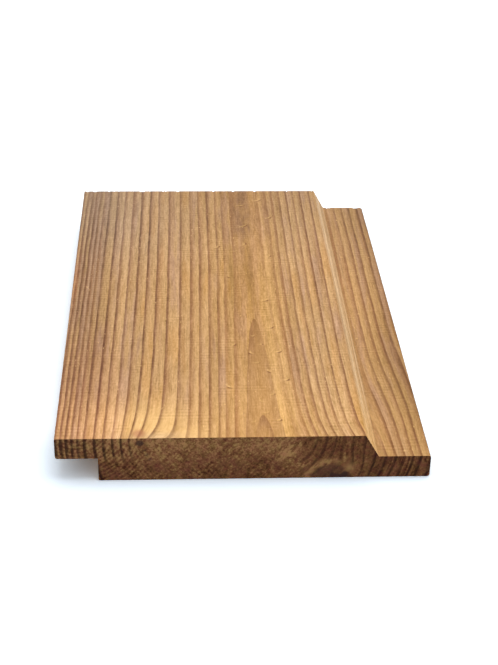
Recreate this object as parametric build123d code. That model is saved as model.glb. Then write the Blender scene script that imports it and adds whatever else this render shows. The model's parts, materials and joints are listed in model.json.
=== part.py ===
"""Shiplap cladding board of heat-treated softwood: one moulded length, planed all round and sawn square.

X runs across the board, Y along the grain and Z out of the show face. The origin is on the flat back,
in the middle of the board's length and overall width. All sizes are millimetres.
"""

from build123d import *

import os
from math import radians, tan

# Driving dimensions
board_length = 220.0  # between the two saw cuts
board_width = 142.0  # over both laps
thickness = 19.0  # back to show face
under_lap_width = 20.0  # right-hand lap, which the next board covers
under_lap_thickness = 9.5
over_lap_width = 16.0  # left-hand lap, which covers the board before it
lap_clearance = 0.5  # play in height between two closed laps
bevel_angle = 60.0  # slope of the drip bevel from the show face, in degrees
face_arris = 0.5  # eased edges of the show face and the back
lap_arris = 1.0  # eased noses of the two laps

# Section, seen from the front end
left_edge = -board_width / 2
right_edge = board_width / 2
rebate_wall = left_edge + over_lap_width
rebate_height = under_lap_thickness + lap_clearance
bevel_foot = right_edge - under_lap_width
bevel_head = bevel_foot - (thickness - under_lap_thickness) / tan(radians(bevel_angle))

back_left = (rebate_wall, 0)
under_lap_heel = (right_edge, 0)
under_lap_nose = (right_edge, under_lap_thickness)
bevel_bottom = (bevel_foot, under_lap_thickness)
bevel_top = (bevel_head, thickness)
face_left = (left_edge, thickness)
over_lap_nose = (left_edge, rebate_height)
rebate_corner = (rebate_wall, rebate_height)


def shiplap_section():
    """The moulded section: a body with a lap along each edge and a bevel beside the lower one."""
    with BuildSketch(Plane.XZ) as section:
        with BuildLine():
            Polyline(
                back_left,
                under_lap_heel,
                under_lap_nose,
                bevel_bottom,
                bevel_top,
                face_left,
                over_lap_nose,
                rebate_corner,
                close=True,
            )
        make_face()
        for corner, radius in (
            (back_left, face_arris),
            (bevel_top, face_arris),
            (face_left, face_arris),
            (under_lap_heel, lap_arris),
            (under_lap_nose, lap_arris),
            (over_lap_nose, lap_arris),
        ):
            fillet(section.vertices().sort_by_distance(corner)[0], radius)
    return section.sketch


def cladding_board():
    """The section run along the grain, half of the length each way from the origin."""
    return extrude(shiplap_section(), amount=board_length / 2, both=True)


os.makedirs("parts", exist_ok=True)
export_step(cladding_board(), "parts/cladding_board.step")
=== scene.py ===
"""Heat-treated shiplap cladding board, laid out as a Blender add-on and run as a script.

A Geometry Nodes tree runs the moulded section along the grain and raises the grain on its faces.
The growth rings are circles round a pith that climbs out of the show face. One function makes them
for the relief and for the two finishes, the planed faces and the sawn ends, so that they line up.
Property sizes are metres. Inside the wood's node groups a length is in millimetres.
"""

import json
import math
from itertools import accumulate
from types import SimpleNamespace

import bpy
from mathutils import Matrix, Vector


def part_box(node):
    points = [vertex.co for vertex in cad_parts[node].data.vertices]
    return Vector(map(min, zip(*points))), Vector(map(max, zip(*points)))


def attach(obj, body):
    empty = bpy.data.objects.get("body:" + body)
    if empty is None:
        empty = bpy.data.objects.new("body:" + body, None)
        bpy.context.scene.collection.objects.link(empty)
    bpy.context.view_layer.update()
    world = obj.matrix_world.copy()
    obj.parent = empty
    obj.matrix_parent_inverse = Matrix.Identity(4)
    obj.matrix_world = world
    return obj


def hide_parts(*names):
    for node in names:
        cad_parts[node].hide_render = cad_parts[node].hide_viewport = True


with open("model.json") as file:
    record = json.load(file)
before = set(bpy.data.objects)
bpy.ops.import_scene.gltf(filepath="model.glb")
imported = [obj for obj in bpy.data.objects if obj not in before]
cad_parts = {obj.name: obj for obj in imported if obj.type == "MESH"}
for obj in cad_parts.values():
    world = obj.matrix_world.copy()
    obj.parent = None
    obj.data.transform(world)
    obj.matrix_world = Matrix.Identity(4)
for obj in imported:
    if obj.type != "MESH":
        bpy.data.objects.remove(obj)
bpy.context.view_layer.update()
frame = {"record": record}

bl_info = {
    "name": "Shiplap cladding board",
    "version": (1, 0, 0),
    "blender": (4, 5, 0),
    "location": "3D View > Sidebar > Cladding",
    "description": "Builds a heat-treated shiplap cladding board and the stage it lies on",
    "category": "Object",
}

NODE = "cladding_board"
MM = 1000.0  # millimetres in a metre
NUMBER = "NodeSocketFloat"
VECTOR = "NodeSocketVector"

# The board's sizes, from the frame
BOARD_LOW, BOARD_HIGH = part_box(NODE)
MOUNTS = {mount["name"]: Vector(mount["pos_m"]) for mount in frame["record"]["mounts"]}
UNDER_LAP = MOUNTS["under_lap_face"]
OVER_LAP = MOUNTS["over_lap_face"]
BEVEL_ANGLE = math.radians(60.0)

# Places on it in millimetres, for the wood's node groups
FRONT_END = BOARD_LOW.y * MM
FACE_TOP = BOARD_HIGH.z * MM
LAP_TOP = UNDER_LAP.z * MM
BEVEL_FOOT = (2 * UNDER_LAP.x - BOARD_HIGH.x) * MM
BEVEL_HEAD = BEVEL_FOOT - (FACE_TOP - LAP_TOP) / math.tan(BEVEL_ANGLE)

# The tree's years from the pith outwards: the ring's width, and how dark its summer growth is
YEARS = (
    (3.2, 0.6),
    (3.63, 0.25),
    (3.87, 0.35),
    (3.31, 0.5),
    (2.65, 0.75),
    (3.65, 0.9),
    (3.87, 0.85),
    (3.87, 0.65),
    (4.48, 0.95),
    (5.38, 0.9),
    (4.9, 1.0),
    (4.3, 1.0),
    (4.3, 0.9),
    (4.1, 0.7),
    (4.0, 0.8),
    (3.8, 1.1),
    (3.9, 0.95),
    (2.6, 0.6),
    (2.2, 0.7),
    (2.1, 0.8),
    (2.0, 0.8),
    (2.1, 0.8),
    (2.0, 0.7),
    (2.0, 0.8),
    (2.0, 0.8),
    (2.0, 0.7),
)
RING_EDGES = [0.0, *accumulate(width for width, darkness in YEARS)]
AGE_AT_RADIUS = [(edge, year) for year, edge in enumerate(RING_EDGES)]
DARKNESS_AT_AGE = [(0, 0.5), *((year + 1, darkness) for year, (width, darkness) in enumerate(YEARS))]

# Ticks on the show face where a shoot died: across from the middle, from the front end, turn in
# degrees, length, and how dark it is
PIN_KNOTS = (
    (-4.7, 157.0, 60.0, 1.0, 1.0),
    (-1.7, 127.0, -50.0, 0.9, 1.0),
    (8.0, 160.0, 80.0, 1.2, 1.0),
    (8.4, 179.0, 40.0, 2.0, 1.0),
    (7.8, 202.0, 10.0, 1.6, 1.0),
    (16.5, 208.0, 25.0, 1.4, 1.0),
    (21.0, 188.0, 40.0, 1.5, 1.0),
    (18.7, 147.0, 50.0, 0.9, 1.0),
    (14.0, 104.5, 20.0, 1.4, 1.0),
    (15.2, 81.0, 30.0, 1.2, 1.0),
    (-1.0, 67.0, 40.0, 0.9, 1.0),
    (4.6, 60.5, -60.0, 1.0, 1.0),
    (17.0, 61.0, 25.0, 1.3, 1.0),
    (11.5, 46.0, -40.0, 1.0, 1.0),
    (19.0, 39.5, 35.0, 1.1, 1.0),
    (-4.8, 34.5, -35.0, 1.2, 1.0),
    (14.4, 11.0, 50.0, 0.8, 1.0),
    (7.0, 73.7, 10.0, 0.6, 0.6),
    (10.5, 67.3, 60.0, 0.6, 0.7),
    (2.8, 152.0, 30.0, 1.3, 0.2),
    (4.0, 149.5, -50.0, 1.1, 0.2),
    (12.8, 128.0, 20.0, 1.0, 0.2),
    (7.9, 52.5, 20.0, 1.2, 0.3),
    (13.0, 29.0, 45.0, 1.0, 0.5),
    (7.1, 24.0, -45.0, 1.1, 0.2),
    (9.7, 16.0, 30.0, 1.1, 0.2),
    (0.3, 15.8, 70.0, 0.9, 0.3),
    (5.0, 10.3, 60.0, 0.8, 0.1),
)

# The stage: the lamp's place and width, and the camera's place and turns in degrees, fitted to the photo
LAMP_PLACE = (0.1, -0.05, 0.9)
LAMP_WIDTH = 0.7
CAMERA_PLACE = (-0.02619, -0.53948, 0.31560)
CAMERA_TURN = -3.565
CAMERA_LOOKS_DOWN = 30.29
CAMERA_ROLL = 1.37
FLOOR_HALF_WIDTH = 4.0
FLOOR_BELOW = 0.0001  # keeps the floor clear of the board's back
FLOOR_LIT = (0.45, 0.45, 0.45)  # how much light the floor gives back to the board
FLOOR_WHITE = (1.6, 1.6, 1.6)  # bright enough to show as plain white


def tone(red, green, blue):
    """A colour as a painter would pick it, 0 to 255, as the linear light that Blender mixes."""
    shares = (value / 255 for value in (red, green, blue))
    return tuple(s / 12.92 if s <= 0.04045 else ((s + 0.055) / 1.055) ** 2.4 for s in shares)


def length_property(name, description, default):
    return bpy.props.FloatProperty(
        name=name, description=description, default=default, min=0.0, precision=5, unit="LENGTH"
    )


def number_property(name, description, default):
    return bpy.props.FloatProperty(name=name, description=description, default=default)


def colour_property(name, description, default):
    return bpy.props.FloatVectorProperty(
        name=name, description=description, default=default, size=3, min=0.0, max=1.0, subtype="COLOR"
    )


class BoardSizes(bpy.types.PropertyGroup):
    """The moulded section, the length it is cut to and the depth of its relief."""

    length: length_property("Length", "Between the two saw cuts", BOARD_HIGH.y - BOARD_LOW.y)
    width: length_property("Width", "Over both laps", BOARD_HIGH.x - BOARD_LOW.x)
    thickness: length_property("Thickness", "Back to show face", BOARD_HIGH.z - BOARD_LOW.z)
    under_lap_width: length_property(
        "Under lap width", "Right-hand lap, which the next board covers", 2 * (BOARD_HIGH.x - UNDER_LAP.x)
    )
    under_lap_thickness: length_property("Under lap thickness", "Back to the lap's face", UNDER_LAP.z)
    over_lap_width: length_property(
        "Over lap width", "Left-hand lap, which covers the board before", 2 * (OVER_LAP.x - BOARD_LOW.x)
    )
    rebate_height: length_property("Rebate height", "Back to the underside of the over lap", OVER_LAP.z)
    bevel_angle: bpy.props.FloatProperty(
        name="Bevel angle",
        description="Slope of the bevel from the show face",
        default=BEVEL_ANGLE,
        subtype="ANGLE",
    )
    face_arris: length_property("Face arris", "Radius of the eased edges of show face and back", 0.0005)
    lap_arris: length_property("Lap arris", "Radius of the eased noses of the laps", 0.001)
    grain_relief: length_property("Grain relief", "How far the latewood stands proud when planed", 0.00004)
    saw_relief: length_property("Saw relief", "Depth of the saw's marks on the ends", 0.00008)
    chip_depth: length_property("Chip depth", "Deepest chip that the saw tore from an end's edge", 0.0008)


class WoodGrowth(bpy.types.PropertyGroup):
    """How the tree grew, in millimetres."""

    pith_across: number_property("Pith across", "Where the pith lies, from the middle of the width", 8.0)
    pith_rise: number_property("Pith rise", "How far the pith climbs slowly above the show face", 6.2)
    pith_kick: number_property("Pith kick", "How far it climbs at once at the front end", 3.1)
    left_lean: number_property("Left lean", "Slope of the rings left of the pith, along the length", 0.0095)
    right_lean: number_property("Right lean", "How far the rings right of the pith lean out at the back", 0.9)
    knot_pull: number_property("Knot pull", "How far the front knot draws the rings to the left", 4.4)
    front_spread: number_property("Front spread", "How far the rings spread at the front end", 3.2)
    lap_spread: number_property("Lap spread", "How far they spread on the under lap", 4.4)
    waviness: number_property("Waviness", "How far a ring strays from its line", 0.9)


class WoodColours(bpy.types.PropertyGroup):
    """The wood's colours after its heat treatment."""

    earlywood: colour_property("Earlywood", "Planed spring growth", tone(212, 166, 110))
    latewood: colour_property("Latewood", "Planed summer growth, browner", tone(182, 132, 84))
    rosy_wood: colour_property("Rosy wood", "Years that turned reddish in the heat", tone(198, 154, 120))
    golden_wood: colour_property("Golden wood", "Years that stayed yellow", tone(216, 162, 96))
    ring_line: colour_property("Ring line", "The end of each year's growth", tone(114, 65, 32))
    # Pale wood: real pale grain, and also the painted sheen and glow by the front knot
    pale_wood_and_sheen: colour_property("Pale wood", "Grain that dives under a knot", tone(246, 198, 132))
    # Bevel wood: the bevel's paler cut grain, made paler still by painted light
    bevel_wood_and_light: colour_property("Bevel wood", "Crisply cut bevel", tone(255, 216, 164))
    dull_wood: colour_property("Dull wood", "Stained wood at the pith", tone(152, 111, 82))
    blush: colour_property("Blush", "Scorched strip along the left edge", tone(216, 136, 90))
    end_earlywood: colour_property("End earlywood", "Sawn spring growth", tone(182, 140, 92))
    end_brown: colour_property("End brown", "Sawn wood between spring and summer", tone(124, 84, 52))
    end_latewood: colour_property("End latewood", "Sawn summer growth", tone(72, 38, 19))
    end_rosy: colour_property("End rosy", "Sawn wood that turned reddish", tone(126, 79, 60))
    end_line: colour_property("End ring line", "The end of a year, sawn across", tone(50, 24, 17))
    knot: colour_property("Knot", "Branch wood", tone(62, 42, 40))


class StageSettings(bpy.types.PropertyGroup):
    """The floor, the light and the camera."""

    # Floor: the colour near the board, dimmer and bluer than further off, a painted cool shade round the
    # board
    floor: colour_property("Floor", "Plain pale floor", (0.8, 0.9, 1.0))
    floor_gain: number_property("Floor gain", "How much brighter the floor shows than it is lit", 1.3)
    zenith_light: number_property("Zenith light", "Light from straight above", 1.08)
    horizon_light: number_property("Horizon light", "Light from the horizon", 0.3)
    lamp_power: bpy.props.FloatProperty(
        name="Lamp power", description="Soft lamp overhead", default=3.2, unit="POWER"
    )
    lens: bpy.props.FloatProperty(
        name="Lens", description="Focal length", default=75.63, subtype="DISTANCE_CAMERA"
    )


class Wire:
    """A value on its way through a node tree. Arithmetic on it adds Math nodes to that tree."""

    def __init__(self, socket):
        self.socket = socket
        self.tree = socket.id_data

    def math(self, operation, *others):
        return add_math(self.tree, operation, self, *others)

    def __add__(self, other):
        return self.math("ADD", other)

    def __sub__(self, other):
        return self.math("SUBTRACT", other)

    def __rsub__(self, other):
        return add_math(self.tree, "SUBTRACT", other, self)

    def __mul__(self, other):
        return self.math("MULTIPLY", other)

    def __truediv__(self, other):
        return self.math("DIVIDE", other)

    __radd__ = __add__

    def ease(self, start, end, low=0.0, high=1.0):
        """low up to start, high from end on, and an eased step between them."""
        if start > end:
            start, end, low, high = end, start, high, low
        limits = (self, start, end, low, high)
        return add_step(self.tree, "ShaderNodeMapRange", limits, interpolation_type="SMOOTHSTEP")

    def fade(self, reach):
        """1 at nothing, falling off over the reach."""
        return (self / reach * -1.0).math("EXPONENT")

    def bell(self, centre, spread):
        """1 at the centre, falling off to both sides."""
        offset = (self - centre) / spread
        return (offset * offset * -1.0).math("EXPONENT")

    def follow(self, points):
        """The height of a line of straight runs through the points, which start at zero."""
        reach = points[-1][0]
        peak = max(height for place, height in points)
        node = add_node(self.tree, "ShaderNodeFloatCurve")
        line = node.mapping.curves[0]
        shares = [(place / reach, height / peak) for place, height in points]
        line.points[0].location = shares[0]
        line.points[1].location = shares[-1]
        for place, height in shares[1:-1]:
            line.points.new(place, height)
        for point in line.points:
            point.handle_type = "VECTOR"
        node.mapping.update()
        feed(node.inputs["Value"], self / reach)
        return Wire(node.outputs[0]) * peak


def add_node(tree, kind, **settings):
    node = tree.nodes.new(kind)
    place = len(tree.nodes)
    node.location = (190 * (place % 18), -320 * (place // 18))
    for name, value in settings.items():
        setattr(node, name, value)
    return node


def feed(socket, value):
    """Links a wire to the socket, or sets a plain value on it."""
    if isinstance(value, Wire):
        socket.id_data.links.new(value.socket, socket)
    else:
        socket.default_value = value


def feed_named(node, **values):
    """Feeds a node's inputs by name. A name has _ for each space."""
    for name, value in values.items():
        feed(node.inputs[name.replace("_", " ")], value)


def add_step(tree, kind, inputs, output=0, **settings):
    """Adds a node, feeds its inputs, in order or by name, and returns the wire that leaves it."""
    node = add_node(tree, kind, **settings)
    by_key = inputs if isinstance(inputs, dict) else dict(enumerate(inputs))
    for key, value in by_key.items():
        feed(node.inputs[key], value)
    return Wire(node.outputs[output])


def add_math(tree, operation, *values):
    return add_step(tree, "ShaderNodeMath", values, operation=operation)


def vector_math(tree, operation, *values):
    return add_step(tree, "ShaderNodeVectorMath", values, operation=operation)


def join(tree, across, along, up):
    return add_step(tree, "ShaderNodeCombineXYZ", (across, along, up))


def split(spot):
    node = add_node(spot.tree, "ShaderNodeSeparateXYZ")
    feed(node.inputs[0], spot)
    return [Wire(socket) for socket in node.outputs]


def in_millimetres(spot):
    return vector_math(spot.tree, "MULTIPLY", spot, (MM, MM, MM))


def patches(spot, wide, long, seed, detail=2.0, roughness=0.5, high=None):
    """Soft patches from 0 to 1, about this wide, long and high in the spot's own unit."""
    stretch = (1 / wide, 1 / long, 1 / (high or wide))
    place = vector_math(spot.tree, "MULTIPLY_ADD", spot, stretch, (seed, seed, seed))
    inputs = {"Vector": place, "Scale": 1.0, "Detail": detail, "Roughness": roughness}
    return add_step(spot.tree, "ShaderNodeTexNoise", inputs)


def blend(first, second, factor):
    """A mix of two colours by a factor."""
    first, second = (colour if isinstance(colour, Wire) else (*colour, 1.0) for colour in (first, second))
    inputs = {0: factor, 6: first, 7: second}
    return add_step(factor.tree, "ShaderNodeMix", inputs, 2, data_type="RGBA")


def shade_colour(colour, value, saturation, hue):
    """The colour, brighter or darker by a factor, more or less strong, and redder below a hue of 0.5."""
    inputs = {"Color": colour, "Value": value, "Saturation": saturation, "Hue": hue}
    return add_step(colour.tree, "ShaderNodeHueSaturation", inputs)


def add_bump(height, strength, distance):
    inputs = {"Height": height, "Strength": strength, "Distance": distance}
    return add_step(height.tree, "ShaderNodeBump", inputs)


def numbers(*names):
    """Output sockets for these numbers."""
    return [(name, NUMBER) for name in names]


def setting_inputs(settings):
    """A number input for each of the settings, named like it."""
    fields = type(settings).__annotations__
    return [(field.replace("_", " ").title(), NUMBER, getattr(settings, field)) for field in fields]


def start_group(name, kind, inputs, outputs):
    """A new node group with these sockets, its input wires by name and its output node."""
    tree = bpy.data.node_groups.new(name, kind)
    for socket_name, socket_type, default in inputs:
        socket = tree.interface.new_socket(name=socket_name, in_out="INPUT", socket_type=socket_type)
        if default is not None:
            socket.default_value = default
    for socket_name, socket_type in outputs:
        tree.interface.new_socket(name=socket_name, in_out="OUTPUT", socket_type=socket_type)
    entry = add_node(tree, "NodeGroupInput")
    wires = {socket.name: Wire(socket) for socket in entry.outputs if socket.name}
    return tree, wires, add_node(tree, "NodeGroupOutput")


def place_group(tree, group, **values):
    """Places a group and returns its outputs by name."""
    kind = "ShaderNodeGroup" if tree.type == "SHADER" else "GeometryNodeGroup"
    node = add_node(tree, kind, node_tree=group)
    feed_named(node, **values)
    return {socket.name: Wire(socket) for socket in node.outputs}


def growth_rings(kind, growth):
    """Group: the latewood at a spot, the ring's age, the radius and the spot as the grain flows."""
    tree, given, leave = start_group(
        "Growth rings" if kind == "ShaderNodeTree" else "Growth ring relief",
        kind,
        [("Spot", VECTOR, None), *setting_inputs(growth)],
        [*numbers("Shade", "Line", "Band", "Age", "Radius", "From Front"), ("Flow", VECTOR)],
    )
    spot = in_millimetres(given["Spot"])
    across, along, up = split(spot)
    from_front = along - FRONT_END

    # The front knot draws the rings to the left, close by and further off
    tight_pull = given["Knot Pull"] * across.bell(-34.0, 9.5) * from_front.fade(8.0)
    broad_pull = given["Knot Pull"] * 0.42 * across.bell(-42.0, 11.0) * from_front.fade(30.0)
    deep = up.ease(3.0, 18.0, 0.4, 1.0)
    lean = across.ease(20.0, 0.0) * (from_front - 90.0) * given["Left Lean"]
    lean = lean + across.ease(5.0, 20.0) * from_front.ease(60.0, 180.0) * given["Right Lean"]

    # Towards the front end they spread to the right, most on the lap, and bulge beside a branch below
    spread = given["Front Spread"] * from_front.fade(13.0)
    on_lap = across.ease(44.0, 54.0)
    lap_spread = given["Lap Spread"] * (on_lap - across.ease(53.0, 69.0) * 0.36) - spread * on_lap
    lap_spread = lap_spread * (from_front - (across - 58.0) * 2.0).ease(80.0, 5.0)
    branch_push = across.bell(41.0, 7.0) * up.ease(15.0, 1.0) * from_front.fade(15.0) * 4.0
    wave = (patches(spot, 26.0, 70.0, 3.0) - 0.5) * given["Waviness"]
    wave = wave + (patches(spot, 4.0, 13.0, 11.0) - 0.5) * given["Waviness"] * 0.5
    shift = lean + spread * across.ease(10.0, 32.0) + lap_spread + branch_push + wave
    shift = shift - tight_pull * deep - broad_pull
    straight = across - shift

    # Distance from the pith, which climbs away from the front end. The right side grew more slowly.
    climb = from_front.ease(-60.0, 150.0, -0.198, 0.802) * given["Pith Rise"]
    climb = climb + (1.0 - from_front.fade(8.0)) * given["Pith Kick"]
    beside = straight - given["Pith Across"]
    below = up - climb - FACE_TOP
    radius = (beside * beside + below * below).math("SQRT")
    slow_side = beside.ease(0.0, 12.0) * radius.ease(15.0, 37.0) * radius.ease(57.0, 64.5, 0.1, 0.0845)
    radius = radius * (slow_side + 1.0)

    # Age, and how far off the ring's own edge and the last one are
    younger = (radius - 0.5).math("MAXIMUM", 0.0).follow(AGE_AT_RADIUS)
    older = (radius + 0.5).follow(AGE_AT_RADIUS)
    age = radius.follow(AGE_AT_RADIUS)
    rate = older - younger
    phase = age.math("FRACT")
    to_edge = (1.0 - phase) / rate
    past_edge = phase / rate

    # Each year's wood browns slowly outwards and ends in a dark line, stronger in some years
    darkness = (age + 0.5).math("FLOOR").follow(DARKNESS_AT_AGE)
    faint_years = radius.ease(3.3, 4.5) * radius.ease(16.0, 13.0)
    darkness = darkness * (1.0 - beside.ease(0.0, 3.0) * faint_years * 0.4)
    darkness = darkness * (1.0 - beside.ease(-0.5, -2.0) * radius.ease(3.6, 3.3) * 0.6)
    along_year = patches(spot, 7.0, 45.0, 8.0).ease(0.25, 0.75, 0.7, 1.1)
    along_year = along_year * patches(spot, 1.3, 7.0, 38.0).ease(0.3, 0.7, 0.75, 1.15)
    ragged = radius.ease(7.0, 12.0)
    shade = phase.ease(0.2, 0.95).math("MAXIMUM", past_edge.ease(0.6, 0.0) * ragged)
    shade = shade * radius.ease(2.6, 3.8, 0.45, 1.0)
    shade = shade * patches(spot, 5.0, 80.0, 14.0).ease(0.3, 0.7, 0.25, 1.0)
    line = to_edge.ease(1.25, 0.1).math("MAXIMUM", past_edge.ease(0.45, 0.0) * ragged)
    band = to_edge.ease(1.5, 0.3).math("MAXIMUM", past_edge.ease(0.5, 0.0))
    feed_named(
        leave,
        Shade=shade,
        Line=(line * darkness * along_year).math("MINIMUM", 1.0),
        Band=(band * darkness).math("MINIMUM", 1.0),
        Age=age,
        Radius=radius,
        From_Front=from_front,
        Flow=join(tree, straight, along, up),
    )
    return tree


def pin_knot_group():
    """Group: one small bent tick where a shoot died in the wood, and the pale wood beside it."""
    tick_settings = ("Across", "From Front", "Turn", "Length", "Depth")
    tree, given, leave = start_group(
        "Pin knot",
        "ShaderNodeTree",
        [("Spot", VECTOR, None), *((name, NUMBER, 1.0) for name in tick_settings)],
        numbers("Dark", "Pale"),
    )
    across, along, up = split(in_millimetres(given["Spot"]))
    right = across - given["Across"]
    forward = along - FRONT_END - given["From Front"]
    cosine = given["Turn"].math("COSINE")
    sine = given["Turn"].math("SINE")
    along_tick = (right * cosine + forward * sine) / given["Length"]
    off_tick = forward * cosine - right * sine - along_tick * along_tick * 0.35
    on_top = up.ease(FACE_TOP - 5.0, FACE_TOP - 1.0)
    dark = along_tick.bell(0.3, 0.9) * off_tick.bell(0.0, 0.38)
    pale = along_tick.bell(-0.2, 1.2) * off_tick.bell(0.75, 0.5)
    feed_named(
        leave,
        Dark=dark * on_top * given["Depth"],
        Pale=pale * on_top * (given["Depth"] * 0.6 + 0.4),
    )
    return tree


def fibre_group():
    """Group: streaks that run with the grain, broad, fine, and as sparse pale flecks."""
    tree, given, leave = start_group(
        "Wood fibre",
        "ShaderNodeTree",
        [("Flow", VECTOR, None)],
        numbers("Broad", "Fine", "Streak", "Stipple", "Fleck"),
    )
    flow = given["Flow"]
    clustered = patches(flow, 9.0, 30.0, 15.0).ease(0.4, 0.6, 0.1, 1.0)
    feed_named(
        leave,
        Broad=patches(flow, 2.6, 90.0, 21.0, detail=3.0),
        Fine=patches(flow, 0.5, 16.0, 5.0, roughness=0.6),
        Streak=patches(flow, 0.8, 5.0, 27.0, roughness=0.6),
        Stipple=patches(flow, 0.6, 1.6, 17.0, roughness=0.6),
        Fleck=patches(flow, 0.7, 2.4, 12.0, detail=1.0).ease(0.65, 0.8) * clustered,
    )
    return tree


def new_material(name):
    material = bpy.data.materials.new(name)
    material.use_nodes = True
    tree = material.node_tree
    spot = add_step(tree, "ShaderNodeTexCoord", {}, "Object")
    return material, tree, tree.nodes["Principled BSDF"], spot


def pin_knot_marks(tree, spot, pin_knot):
    """The dark and the pale of all the pin knots together."""
    marks = {}
    for across, from_front, turn, length, depth in PIN_KNOTS:
        mark = place_group(
            tree,
            pin_knot,
            Spot=spot,
            Across=across,
            From_Front=from_front,
            Turn=math.radians(turn),
            Length=length,
            Depth=depth,
        )
        for name, wire in mark.items():
            marks[name] = wire.math("MAXIMUM", marks.get(name, 0.0))
    return marks


def planed_places(spot, ring):
    """Places on the planed faces: distances in millimetres, and masks from 0 to 1, by name."""
    millimetres = in_millimetres(spot)
    across, along, up = split(millimetres)
    flow_across = split(ring["Flow"])[0]
    from_front = ring["From Front"]
    show_face = up.ease(FACE_TOP - 4.0, FACE_TOP - 1.0)
    past_foot = across.ease(BEVEL_FOOT - 0.4, BEVEL_FOOT + 0.2)
    bevel = across.ease(BEVEL_HEAD - 0.3, BEVEL_HEAD + 0.3) * (1.0 - past_foot)

    # Pale wood and a painted sheen round the front knot, and a painted glow along the front edge beside it
    pale = across.bell(-34.0, 15.0) * from_front.bell(9.0, 13.5)
    pale = pale.math("MAXIMUM", across.bell(-22.0, 8.0) * from_front.ease(14.0, 4.0) * 0.9)
    knot = across.bell(-39.5, 2.6) * from_front.bell(3.2, 2.9)

    # Beside the pith a pale streak, and stains: a dark one at the back end and faint ones before it
    streak = flow_across.bell(14.2, 2.0) * from_front.ease(200.0, 110.0, 0.1, 0.4)
    streak = streak.math("MAXIMUM", flow_across.bell(15.5, 3.5) * from_front.bell(75.0, 45.0) * 0.3)
    mottle = patches(millimetres, 3.0, 14.0, 2.0, detail=3.0)
    stain = flow_across.ease(-1.0, 5.0) * flow_across.ease(11.5, 9.6) * mottle.ease(0.3, 0.6, 0.5, 1.0)
    stain = stain * (from_front + mottle * 16.0).ease(168.0, 186.0)
    faint_stain = (flow_across.bell(7.7, 2.4) + flow_across.bell(-0.4, 1.6)) * from_front.bell(132.0, 36.0)

    # The pith's first two years are dull where they come out of the show face
    first_year = ring["Radius"].ease(RING_EDGES[1] + 0.15, RING_EDGES[1] - 0.7)
    second_year = ring["Radius"].ease(RING_EDGES[2] + 0.02, RING_EDGES[2] - 0.04)
    heart = second_year * from_front.ease(40.0, 5.0, 0.34, 0.46)
    heart = heart + first_year * from_front.ease(2.0, 10.0, 0.1, 0.22)
    scorch = across.ease(-68.2, -69.6) * from_front.bell(127.0, 30.0) * patches(millimetres, 20.0, 20.0, 9.0)
    return SimpleNamespace(
        millimetres=millimetres,
        across=across,
        along=along,
        up=up,
        flow_across=flow_across,
        from_front=from_front,
        show_face=show_face,
        bevel=bevel * up.ease(LAP_TOP - 0.1, LAP_TOP + 0.3),
        lap=past_foot * up.ease(LAP_TOP - 5.5, LAP_TOP - 0.5),
        pale=pale * show_face,
        front_edge=from_front.ease(6.0, 1.0) * show_face,
        knot=(knot * show_face).ease(0.1, 0.9),
        streak=streak * show_face,
        stain=(stain * show_face).math("MAXIMUM", heart),
        faint_stain=faint_stain * show_face,
        second_year=second_year,
        scorch=scorch * show_face * 0.5,
    )


def planed_colour(colours, ring, fibre, ticks, at):
    """The planed wood's colour, before its fibres and its place lighten and darken it."""
    across, from_front, radius = at.across, at.from_front, ring["Radius"]

    # Some years, and stretches of them, turned rosy in the heat and others stayed golden
    year = ring["Age"].math("FLOOR")
    by_year = patches(join(year.tree, year * 3.7, at.along / 70.0, 0.5), 1.0, 1.0, 46.0, detail=1.0)
    warmth = by_year * 0.6 + patches(ring["Flow"], 3.0, 45.0, 51.0, detail=3.0) * 0.5
    warmth = warmth + radius.ease(58.0, 66.0) * from_front.ease(0.0, 70.0, -0.02, 0.07)
    rosy = warmth.ease(0.55, 0.7) * from_front.ease(5.0, 50.0, 0.35, 0.8)
    golden = warmth.ease(0.54, 0.38) * (1.0 - at.lap * 0.75) * radius.ease(54.0, 64.0, 1.0, 0.5)
    golden = golden.math("MAXIMUM", at.flow_across.bell(9.0, 9.0) * 0.6)
    colour = blend(colours.earlywood, colours.rosy_wood, rosy)
    colour = blend(colour, colours.golden_wood, golden * 0.75)

    # Brown latewood, pale wood and painted sheen over it, and the bevel painted paler: partly its paler cut
    # grain, partly painted light, brightest along two lines
    sharp = 1.0 - at.bevel * 0.85
    colour = blend(colour, colours.latewood, ring["Shade"] * sharp)
    pale = at.pale.math("MAXIMUM", at.streak) * (1.0 - ring["Shade"] * 0.5)
    colour = blend(colour, colours.pale_wood_and_sheen, pale)
    ridges = at.up.bell(15.6, 1.6) + at.up.bell(11.2, 1.0) * 0.7
    off_end = from_front.ease(5.0, 60.0)
    pale_and_lit_bevel = ridges * (off_end * 0.45 + 0.35) - off_end * 0.2 + 0.4
    colour = blend(colour, colours.bevel_wood_and_light, at.bevel * pale_and_lit_bevel)

    # The dark line that ends each year, stronger in some places, and the stains over it
    drawn = from_front.ease(205.0, 165.0, -0.16, 0.14) - from_front.ease(35.0, 8.0) * 0.03
    drawn = drawn * across.ease(-20.0, -34.0) + across.ease(32.0, 40.0) * 0.09
    drawn = drawn - across.bell(-6.0, 9.0) * 0.14 - across.bell(24.0, 8.0) * 0.13
    drawn = drawn - across.bell(-28.0, 10.0) * from_front.ease(9.0, 2.0) * 0.25
    drawn = drawn * at.show_face - at.lap * 0.07 + 0.72
    bevel_shade = across.bell(BEVEL_FOOT + 1.2, 1.6) * at.lap
    colour = blend(colour, colours.ring_line, ring["Line"] * (sharp - bevel_shade * 0.8) * drawn)
    colour = blend(colour, colours.dull_wood, at.stain * 0.72)
    colour = blend(colour, colours.blush, at.scorch.math("MAXIMUM", at.knot * 0.5))
    return blend(colour, colours.pale_wood_and_sheen, (fibre["Fleck"] * 0.75).math("MAXIMUM", ticks["Pale"] * 0.7))


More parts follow.
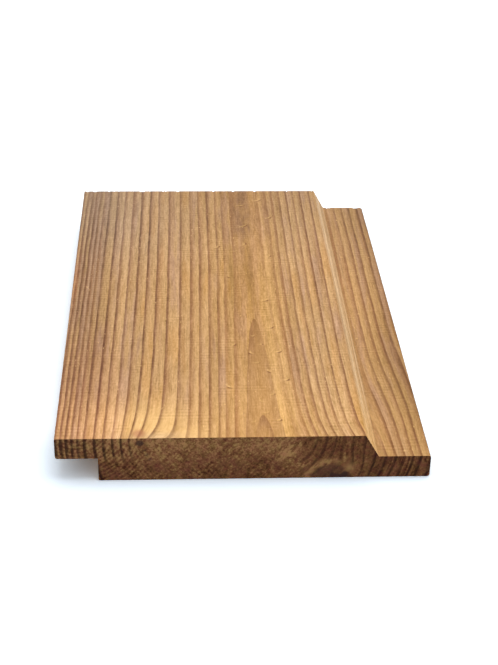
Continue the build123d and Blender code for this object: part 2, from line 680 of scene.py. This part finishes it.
def planed_light(ring, fibre, ripple, at):
    """How much the fibres, the planer and the place on the board lighten the wood, as a factor. Some of it is
    painted light and shade.
    """
    across, from_front = at.across, at.from_front
    fibres = fibre["Broad"] * 0.5 + fibre["Fine"] * 0.73 + fibre["Streak"] * 0.57 + fibre["Stipple"] * 0.6
    smooth = across.bell(0.0, 18.0) * from_front.ease(90.0, 30.0) * 0.15
    smooth = smooth.math("MAXIMUM", at.second_year * 0.25) + at.pale * 0.6 + at.lap * 0.15
    bevel_line = patches(join(ripple.tree, at.up, at.along, 0.5), 0.45, 150.0, 33.0) - 0.5
    light = (fibres - 1.2) * (1.0 - smooth) + ripple * 0.07 + bevel_line * at.bevel * 0.8 + 0.95

    # Gains on that light: along the board, darker towards the back end, partly the wood's own tone and partly
    # painted fall-off of the light; on the lap; painted light on the bevel; and at single places
    gains = (
        from_front.ease(10.0, 60.0, 0.0, -0.13),
        from_front.ease(140.0, 215.0, 0.0, -0.14),
        at.lap * from_front.ease(130.0, 5.0, 0.0, -0.18),
        # painted light: the bevel brighter, more so further back
        at.bevel * from_front.ease(15.0, 70.0, 0.015, 0.085),
        across.bell(34.0, 10.0) * from_front.ease(120.0, 40.0, 0.0, 0.025),
        across.bell(-50.5, 5.0) * from_front.ease(26.0, 12.0, 0.0, 0.2),
        across.bell(-40.0, 6.0) * at.front_edge * -0.1,
        at.faint_stain * -0.34,
        ring["Radius"].ease(58.0, 67.0) * from_front.ease(6.0, 40.0, 0.0, -0.16),
    )
    for gain in gains:
        light = light * (gain + 1.0)
    return light


def planed_strength(at):
    """How strong the colour is from place to place. It is weaker towards the back end, most on the left."""
    across, from_front = at.across, at.from_front
    changes = (
        across.bell(10.0, 16.0) * 0.035,
        across.ease(-5.0, -65.0, 0.0, -0.045),
        across.bell(34.0, 12.0) * -0.03,
        across.bell(-34.0, 12.0) * at.front_edge * -0.09,
        across.bell(-52.0, 12.0) * from_front.ease(40.0, 12.0, 0.0, 0.035),
        from_front.ease(45.0, 5.0) * (at.bevel * 0.08 - at.lap * 0.03 + 0.045),
        from_front.ease(110.0, 200.0) * across.ease(0.0, -60.0, -0.05, -0.16),
    )
    return sum(changes, 1.01)


def planed_finish(colours, rings, fibres, pin_knot):
    """Material: planed faces, with rings as lines, pin knots and the planer's ripples."""
    material, tree, shader, spot = new_material("planed_wood")
    ring = place_group(tree, rings, Spot=spot)
    fibre = place_group(tree, fibres, Flow=ring["Flow"])
    ticks = pin_knot_marks(tree, spot, pin_knot)
    at = planed_places(spot, ring)

    # The planer's ripples show in patches and along the left edge
    pitch = 2.1
    worked = patches(at.millimetres, 9.0, 9.0, 9.0, detail=1.0).ease(0.55, 0.62)
    worked = worked.math("MAXIMUM", at.across.ease(-48.0, -60.0) * at.from_front.ease(20.0, 80.0, 0.4, 0.8))
    ripple = (at.along * (math.tau / pitch)).math("SINE") * worked

    colour = planed_colour(colours, ring, fibre, ticks, at)
    light = planed_light(ring, fibre, ripple, at)
    strength = planed_strength(at) - (light - 0.85) * 0.22
    redder = at.across.ease(-38.0, -60.0) * at.from_front.ease(100.0, 40.0) * at.show_face
    colour = shade_colour(colour, light, strength, 0.5 - redder * 0.009)
    colour = blend(colour, colours.ring_line, ticks["Dark"] * 0.9)
    colour = blend(colour, colours.end_rosy, at.knot * fibre["Stipple"].ease(0.3, 0.7, 0.15, 0.4))
    height = fibre["Fine"] * 0.5 + fibre["Stipple"] * 0.4 + ripple * 0.2 - ticks["Dark"]
    feed_named(
        shader,
        Base_Color=colour,
        Roughness=fibre["Fine"] * 0.16 - ring["Line"] * 0.08 + 0.62,
        Specular_IOR_Level=0.22,
        Normal=add_bump(height, 0.35, 0.0002),
    )
    return material


def wrapped_branch(across, up, blot, torn):
    """A branch under the board at the front end: its heart, the dark wood on it and a pale halo."""
    right = across - 36.5
    above = up + 1.0
    reach = (right * right + above * above).math("SQRT")
    turn = above.math("ARCTAN2", right)
    wrap = reach - turn * 3.6 - 2.3 + (blot - 0.5) * 2.5
    halo = wrap.bell(0.0, 1.2) * torn.ease(0.3, 0.5, 0.3, 1.0) * turn.ease(1.8, 2.1, 0.05, 1.0)
    burl = across.bell(40.0, 1.9) * up.bell(4.5, 1.9) + across.bell(35.0, 1.3) * up.bell(7.4, 1.5) * 0.7
    heart = (reach / 6.0 + right.math("ABSOLUTE") * -0.07 + (blot - 0.5) * 0.5).ease(0.55, 0.4)
    return heart, wrap.ease(-1.0, -2.4), halo.math("MAXIMUM", burl)


def resin_knot(across, up, torn):
    """A resin knot under the front end's upper edge with a trail below it, and the pale wood beside it."""
    right = across + 39.2
    above = up - 16.8
    knot = (right.bell(0.0, 1.6) * above.bell(0.0, 1.4)).ease(0.2, 0.7)
    pale = right.math("ABSOLUTE").bell(2.9, 0.9) * above.bell(0.0, 1.4)
    slant = math.radians(27.5)
    trail_off = right * math.cos(slant) + above * math.sin(slant)
    trail_along = right * math.sin(slant) - above * math.cos(slant)
    trail = trail_off.bell(0.0, 0.8) * trail_along.ease(3.0, 4.0) * trail_along.ease(11.0, 9.5)
    dash_pitch = 2.6
    dashes = (trail_along * (math.tau / dash_pitch)).math("SINE").ease(-0.5, 0.3)
    return knot.math("MAXIMUM", trail * dashes * torn.ease(0.65, 0.4, 0.4, 0.9)), pale


def sawn_finish(colours, rings):
    """Material: sawn ends, dark, with rings cut across, torn grain and the two knots at the front."""
    material, tree, shader, spot = new_material("sawn_end_grain")
    ring = place_group(tree, rings, Spot=spot)
    millimetres = in_millimetres(spot)
    across, along, up = split(millimetres)
    at_front = along.ease(0.0, -1.0)

    def tear(degrees, seed):
        slant = math.radians(degrees)
        off_slant = up * math.cos(slant) - across * math.sin(slant)
        on_slant = across * math.cos(slant) + up * math.sin(slant)
        return patches(join(tree, off_slant, along, on_slant), 0.85, 20.0, seed, high=2.2)

    # Clouds, blots and specks, grain torn along two slants, and streaks that run with the rings
    cloud = patches(millimetres, 9.0, 60.0, 44.0)
    blot = patches(millimetres, 2.0, 30.0, 4.0)
    torn = tear(50.0, 7.0)
    torn_back = tear(130.0, 13.0)
    speck = patches(millimetres, 0.7, 6.0, 6.0, roughness=0.6)
    grown = patches(join(tree, ring["Radius"], along, up), 0.75, 20.0, 23.0, high=9.0)

    # The saw's strokes are arcs, which show on the left
    sweep_right = across + 63.0
    sweep_up = up - 24.0
    sweep = (sweep_right * sweep_right + sweep_up * sweep_up).math("SQRT")
    stroke_pitch = 1.55
    stroke = ((sweep + blot * 1.6) * (math.tau / stroke_pitch)).math("SINE")

    # How bright it is from place to place
    left_side = across.ease(-38.0, -46.0)
    right_side = across.ease(16.0, 28.0)
    middle = 1.0 - left_side - right_side
    on_lap = across.ease(46.0, 52.0)
    tan_streak = (across - 17.0 - (up - 12.5) * 0.6).bell(0.0, 2.6) * up.bell(12.5, 4.0)
    tan_streak = tan_streak.math("MAXIMUM", across.bell(22.0, 2.2) * up.bell(6.5, 2.5) * 0.8) * at_front
    tones = (
        (cloud - 0.5) * 0.25,
        (blot - 0.5) * 0.5,
        (speck - 0.5) * (1.25 - right_side * 0.35 - left_side * 0.2),
        (torn - 0.5) * (1.0 - right_side * 0.4),
        (torn_back - 0.5) * across.ease(16.0, -6.0, 0.25, 0.9),
        (grown - 0.5) * right_side * (up.ease(4.0, 10.0, 0.4, 0.9) + on_lap * 0.8),
        stroke * across.ease(-33.0, -44.0, 0.0, 0.16),
        tan_streak * torn.ease(0.38, 0.56, 0.05, 0.5),
        left_side * up.ease(6.0, 11.0, -0.16, 0.16),
        middle * up.ease(2.0, 15.0, -0.08, 0.16),
        right_side * up.ease(7.0, 13.0, -0.04, -0.14),
        across.bell(-46.0, 5.0) * up.ease(11.0, 17.0, 0.0, 0.12),
        across.bell(-1.0, 11.0) * -0.05,
        across.ease(40.0, 52.0, 0.0, -0.17),
    )
    bright = sum(tones, 0.52)
    colour = blend(colours.end_latewood, colours.end_brown, bright.ease(0.0, 0.5))
    colour = blend(colour, colours.end_earlywood, bright.ease(0.4, 1.1))
    rosy = patches(millimetres, 5.0, 40.0, 61.0).ease(0.4, 0.65) * up.ease(15.0, 4.0, 0.3, 0.9)
    colour = blend(colour, colours.end_rosy, rosy * 0.45)

    # The rings, which show at the sides, and the two knots
    broken = patches(millimetres, 1.2, 20.0, 52.0, high=2.0).ease(0.3, 0.6, 0.6, 1.1)
    bold = left_side * up.ease(6.0, 13.0, 0.2, 1.5) * across.ease(-44.0, -54.0, 0.75, 1.0)
    bold = bold.math("MAXIMUM", across.ease(-51.5, -53.5)) + right_side * across.ease(40.0, 52.0, 0.75, 1.0)
    lines = (ring["Band"] * broken * bold).math("MINIMUM", 1.0)
    colour = blend(colour, colours.end_line, lines * 0.85)
    heart, inside, halo = wrapped_branch(across, up, blot, torn)
    resin, beside_resin = resin_knot(across, up, torn)
    colour = blend(colour, colours.knot, inside * at_front * 0.45)
    colour = blend(colour, colours.end_earlywood, halo.math("MAXIMUM", beside_resin * 0.8) * at_front * 0.75)
    hue = patches(millimetres, 1.8, 30.0, 71.0) * 0.06 + 0.468
    colour = shade_colour(colour, 1.0, 1.0, hue)
    colour = blend(colour, colours.knot, resin.math("MAXIMUM", heart) * at_front * 0.8)
    feed_named(
        shader,
        Base_Color=colour,
        Roughness=speck * 0.2 + 0.7,
        Specular_IOR_Level=0.1,
        Normal=add_bump(speck + torn, 0.35, 0.0003),
    )
    return material


def corner_line(tree, corners):
    """A curve through section corners, each (across, up, radius), with the corners rounded."""
    line = add_step(tree, "GeometryNodeMeshLine", {"Count": len(corners)})
    index = add_step(tree, "GeometryNodeInputIndex", {})
    spots = add_node(tree, "GeometryNodeIndexSwitch", data_type="VECTOR")
    radii = add_node(tree, "GeometryNodeIndexSwitch", data_type="FLOAT")
    for switch in (spots, radii):
        while len(switch.index_switch_items) < len(corners):
            switch.index_switch_items.new()
        feed(switch.inputs["Index"], index)
    for number, (across, up, radius) in enumerate(corners):
        feed(spots.inputs[str(number)], join(tree, across, 0.0, up))
        feed(radii.inputs[str(number)], radius)
    curve = add_step(tree, "GeometryNodeMeshToCurve", [move(line, Position=Wire(spots.outputs[0]))])
    inputs = {"Curve": curve, "Count": 5, "Radius": Wire(radii.outputs[0])}
    return add_step(tree, "GeometryNodeFilletCurve", inputs, mode="POLY")


def sample_line(line, share):
    """The place on a curve this share of the way along it."""
    inputs = {"Curves": line, "Factor": share}
    return add_step(line.tree, "GeometryNodeSampleCurve", inputs, "Position", mode="FACTOR")


def along_runs(share, turn, first_run, second_run):
    """The place this share of the way along two runs of the section, which meet at the turn's share."""
    inputs = {
        "Switch": share.math("GREATER_THAN", turn),
        "False": sample_line(first_run, share / turn),
        "True": sample_line(second_run, (share - turn) / (1.0 - turn)),
    }
    return add_step(share.tree, "GeometryNodeSwitch", inputs, input_type="VECTOR")


def move(geometry, **places):
    """The geometry with its points put at a Position or pushed by an Offset."""
    return add_step(geometry.tree, "GeometryNodeSetPosition", {"Geometry": geometry, **places})


def board_tree(sizes, growth):
    """Geometry Nodes: the section run along the grain, with raised grain, saw marks and chipped edges."""
    tree, given, leave = start_group(
        "Shiplap board",
        "GeometryNodeTree",
        [
            *setting_inputs(sizes),
            ("Columns", "NodeSocketInt", 401),
            ("Stations", "NodeSocketInt", 90),
            ("Rows", "NodeSocketInt", 24),
            ("Planed Faces", "NodeSocketMaterial", None),
            ("Sawn Ends", "NodeSocketMaterial", None),
        ],
        [("Board", "NodeSocketGeometry")],
    )
    face = given["Thickness"]
    lap = given["Under Lap Thickness"]
    rebate = given["Rebate Height"]
    face_arris = given["Face Arris"]
    lap_arris = given["Lap Arris"]
    right = given["Width"] * 0.5
    left = given["Width"] * -0.5
    bevel_foot = right - given["Under Lap Width"]
    bevel_head = bevel_foot - (face - lap) / given["Bevel Angle"].math("TANGENT")
    wall = left + given["Over Lap Width"]
    shoulder = 0.0001  # straight run between a nose's rounded edge and its upright

    # A block of small faces
    counts = {"Vertices X": given["Columns"], "Vertices Y": given["Stations"], "Vertices Z": given["Rows"]}
    block = add_step(tree, "GeometryNodeMeshCube", counts, "Mesh")
    keep = add_node(tree, "GeometryNodeCaptureAttribute")
    keep.capture_items.new("VECTOR", "Block spot")
    feed(keep.inputs[0], block)
    feed(keep.inputs["Block spot"], add_step(tree, "GeometryNodeInputPosition", {}))
    side, end, height = split(Wire(keep.outputs["Block spot"]))

    # The upper and the lower line of the section, from nose to nose, each with one sharp corner in it
    face_and_bevel = (
        (left, face - face_arris - shoulder, 0.0),
        (left, face, face_arris),
        (bevel_head, face, face_arris),
        (bevel_foot, lap, 0.0),
    )
    under_lap = (
        (bevel_foot, lap, 0.0),
        (right, lap, lap_arris),
        (right, lap - lap_arris - shoulder, 0.0),
    )
    over_lap = (
        (left, rebate + lap_arris + shoulder, 0.0),
        (left, rebate, lap_arris),
        (wall, rebate, 0.0),
    )
    wall_and_back = (
        (wall, rebate, 0.0),
        (wall, 0.0, face_arris),
        (right, 0.0, lap_arris),
        (right, lap_arris + shoulder, 0.0),
    )
    share = side + 0.5
    upper = along_runs(share, 0.8, corner_line(tree, face_and_bevel), corner_line(tree, under_lap))
    lower = along_runs(share, 0.12, corner_line(tree, over_lap), corner_line(tree, wall_and_back))

    # The block is fitted between the two lines, with its stations closer together towards the ends
    fitted = add_step(tree, "ShaderNodeMix", {0: height + 0.5, 4: lower, 5: upper}, 1, data_type="VECTOR")
    across, up = split(fitted)[::2]
    station = end * 2.0
    along = (station * 1.35 - station * station * station * 0.35) * given["Length"] * 0.5
    geometry = move(Wire(keep.outputs[0]), Position=join(tree, across, along, up))

    # Relief: raised latewood on the planed faces, saw marks on the ends, never outside the section
    position = add_step(tree, "GeometryNodeInputPosition", {})
    normal = add_step(tree, "GeometryNodeInputNormal", {})
    rings = place_group(tree, growth_rings("GeometryNodeTree", growth), Spot=position)
    millimetres = in_millimetres(position)
    at_end = end.math("ABSOLUTE").ease(0.4985, 0.4995)
    crest = 1.05
    grain = (rings["Line"] - crest) * given["Grain Relief"] * (1.0 - at_end)
    saw = (patches(millimetres, 1.1, 20.0, 31.0, high=3.0) - 1.0) * given["Saw Relief"] * at_end
    push = add_step(tree, "ShaderNodeVectorMath", {0: normal, "Scale": grain + saw}, operation="SCALE")
    geometry = move(geometry, Offset=push)

    # Chips: the saw left through the back end and tore little pieces from its upper edge
    back_edge = end.ease(0.4985, 0.4995) * height.ease(0.497, 0.499)
    chip = patches(millimetres, 2.2, 300.0, 40.0).ease(0.56, 0.74) * given["Chip Depth"] * back_edge
    geometry = move(geometry, Offset=join(tree, 0.0, chip * -1.0, chip * -0.8))

    # Shading breaks at the edges only
    angle = add_step(tree, "GeometryNodeInputMeshEdgeAngle", {})
    inputs = {0: geometry, "Selection": angle.math("GREATER_THAN", math.radians(40.0)), "Shade Smooth": False}
    geometry = add_step(tree, "GeometryNodeSetShadeSmooth", inputs, domain="EDGE")
    geometry = add_step(tree, "GeometryNodeRealizeInstances", [geometry])
    inputs = {"Geometry": geometry, "Material": given["Planed Faces"]}
    geometry = add_step(tree, "GeometryNodeSetMaterial", inputs)
    facing_end = split(add_step(tree, "GeometryNodeInputNormal", {}))[1].math("ABSOLUTE")
    sawn = facing_end.math("GREATER_THAN", 0.7)
    inputs = {"Geometry": geometry, "Selection": sawn, "Material": given["Sawn Ends"]}
    feed(leave.inputs["Board"], add_step(tree, "GeometryNodeSetMaterial", inputs))
    return tree


def made_by(tree, name, materials):
    """The mesh that a tree makes, as a plain object at the origin."""
    seed = bpy.data.objects.new(name + "_seed", bpy.data.meshes.new(name + "_seed"))
    bpy.context.scene.collection.objects.link(seed)
    modifier = seed.modifiers.new("Tree", "NODES")
    modifier.node_group = tree
    for socket in tree.interface.items_tree:
        if socket.item_type == "SOCKET" and socket.in_out == "INPUT" and socket.name in materials:
            modifier[socket.identifier] = materials[socket.name]
    evaluated = seed.evaluated_get(bpy.context.evaluated_depsgraph_get())
    mesh = bpy.data.meshes.new_from_object(evaluated)
    mesh.name = name
    mesh.materials.pop(index=0)  # the empty slot that a mesh primitive starts with
    seed.modifiers.remove(modifier)
    bpy.data.objects.remove(seed)
    piece = bpy.data.objects.new(name, mesh)
    bpy.context.scene.collection.objects.link(piece)
    return piece


class CLADDING_OT_board(bpy.types.Operator):
    """Make the planed board with its sawn ends."""

    bl_idname = "cladding.board"
    bl_label = "Make the board"

    def execute(self, context):
        colours = context.scene.cladding_colours
        growth = context.scene.cladding_growth
        rings = growth_rings("ShaderNodeTree", growth)
        fibres = fibre_group()
        materials = {
            "Planed Faces": planed_finish(colours, rings, fibres, pin_knot_group()),
            "Sawn Ends": sawn_finish(colours, rings),
        }
        tree = board_tree(context.scene.cladding_sizes, growth)
        board = made_by(tree, "planed_board", materials)
        if not board.data.polygons:
            raise RuntimeError("the board's tree made no faces")
        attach(board, "root")
        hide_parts(NODE)
        return {"FINISHED"}


class CLADDING_OT_stage(bpy.types.Operator):
    """Lay the floor, hang the lamp and set up the camera."""

    bl_idname = "cladding.stage"
    bl_label = "Set the stage"

    def execute(self, context):
        settings = context.scene.cladding_stage
        lay_floor(settings)
        light_stage(settings)
        set_camera(settings)
        context.scene.view_settings.view_transform = "Standard"
        return {"FINISHED"}


def seen_directly(tree):
    """1 where the camera sees a surface, itself or by reflection, and 0 where it only gives light."""
    path = add_node(tree, "ShaderNodeLightPath")
    seen = Wire(path.outputs["Is Camera Ray"])
    seen = seen.math("MAXIMUM", Wire(path.outputs["Is Glossy Ray"]))
    return seen.math("MAXIMUM", Wire(path.outputs["Is Transmission Ray"]))


def lay_floor(settings):
    half = FLOOR_HALF_WIDTH
    mesh = bpy.data.meshes.new("floor")
    corners = [(-half, -half, 0.0), (half, -half, 0.0), (half, half, 0.0), (-half, half, 0.0)]
    mesh.from_pydata(corners, [], [(0, 1, 2, 3)])
    material, tree, shader, spot = new_material("pale_floor")
    # Painted shade and light on the floor: near the board it is dimmer and bluer, a painted cool shade, and
    # it is painted brighter away from the board and behind its front end, which lifts the shadow beside the
    # board
    near = [share * settings.floor_gain for share in settings.floor]
    across, along = split(spot)[:2]
    away = (across * across + along * along).math("SQRT").ease(0.25, 0.7)
    beside = along.ease(BOARD_LOW.y + 0.018, BOARD_LOW.y + 0.04, 0.0, 0.35)
    shown = blend(near, FLOOR_WHITE, away.math("MAXIMUM", beside))
    matt = add_step(tree, "ShaderNodeBsdfDiffuse", {"Color": blend(FLOOR_LIT, shown, seen_directly(tree))})
    feed(tree.nodes["Material Output"].inputs["Surface"], matt)
    tree.nodes.remove(shader)
    mesh.materials.append(material)
    floor = bpy.data.objects.new("floor", mesh)
    floor.location.z = -FLOOR_BELOW
    bpy.context.scene.collection.objects.link(floor)


def light_stage(settings):
    world = bpy.data.worlds.new("studio")
    world.use_nodes = True
    tree = world.node_tree
    sky = tree.nodes["Background"]
    sky.inputs["Color"].default_value = (1.0, 1.0, 1.0, 1.0)
    direction = add_step(tree, "ShaderNodeTexCoord", {}, "Generated")
    height = split(direction)[2].math("MAXIMUM", 0.0)
    light = height * (settings.zenith_light - settings.horizon_light) + settings.horizon_light
    seen = seen_directly(tree)
    feed(sky.inputs["Strength"], light * (1.0 - seen) + seen)
    bpy.context.scene.world = world
    lamp = bpy.data.lights.new("soft_lamp", "AREA")
    lamp.shape = "DISK"
    lamp.size = LAMP_WIDTH
    lamp.energy = settings.lamp_power
    holder = bpy.data.objects.new("soft_lamp", lamp)
    holder.location = LAMP_PLACE
    aim = Vector((0.0, 0.0, 0.0)) - holder.location
    holder.rotation_euler = aim.to_track_quat("-Z", "Y").to_euler()
    bpy.context.scene.collection.objects.link(holder)


def set_camera(settings):
    camera = bpy.data.cameras.new("camera")
    camera.lens = settings.lens
    camera.sensor_width = 36.0
    holder = bpy.data.objects.new("camera", camera)
    turn = Matrix.Rotation(math.radians(CAMERA_TURN), 3, "Z")
    tilt = Matrix.Rotation(math.radians(90.0 - CAMERA_LOOKS_DOWN), 3, "X")
    roll = Matrix.Rotation(math.radians(CAMERA_ROLL), 3, "Z")
    holder.rotation_euler = (turn @ tilt @ roll).to_euler()
    holder.location = CAMERA_PLACE
    bpy.context.scene.collection.objects.link(holder)
    bpy.context.scene.camera = holder


class CLADDING_PT_panel(bpy.types.Panel):
    """Lists the board's steps and settings."""

    bl_label = "Cladding board"
    bl_idname = "CLADDING_PT_panel"
    bl_space_type = "VIEW_3D"
    bl_region_type = "UI"
    bl_category = "Cladding"

    def draw(self, context):
        layout = self.layout
        for operator in (CLADDING_OT_board, CLADDING_OT_stage):
            layout.operator(operator.bl_idname)
        for name, group in SETTINGS:
            settings = getattr(context.scene, name)
            column = layout.column(align=True)
            for field in group.__annotations__:
                column.prop(settings, field)


SETTINGS = (
    ("cladding_sizes", BoardSizes),
    ("cladding_growth", WoodGrowth),
    ("cladding_colours", WoodColours),
    ("cladding_stage", StageSettings),
)
CLASSES = (
    BoardSizes,
    WoodGrowth,
    WoodColours,
    StageSettings,
    CLADDING_OT_board,
    CLADDING_OT_stage,
    CLADDING_PT_panel,
)


def register():
    for cls in CLASSES:
        bpy.utils.register_class(cls)
    for name, group in SETTINGS:
        setattr(bpy.types.Scene, name, bpy.props.PointerProperty(type=group))


def unregister():
    for name, group in SETTINGS:
        delattr(bpy.types.Scene, name)
    for cls in reversed(CLASSES):
        bpy.utils.unregister_class(cls)


def main():
    register()
    bpy.ops.cladding.board()
    bpy.ops.cladding.stage()


if __name__ == "__main__":
    main()
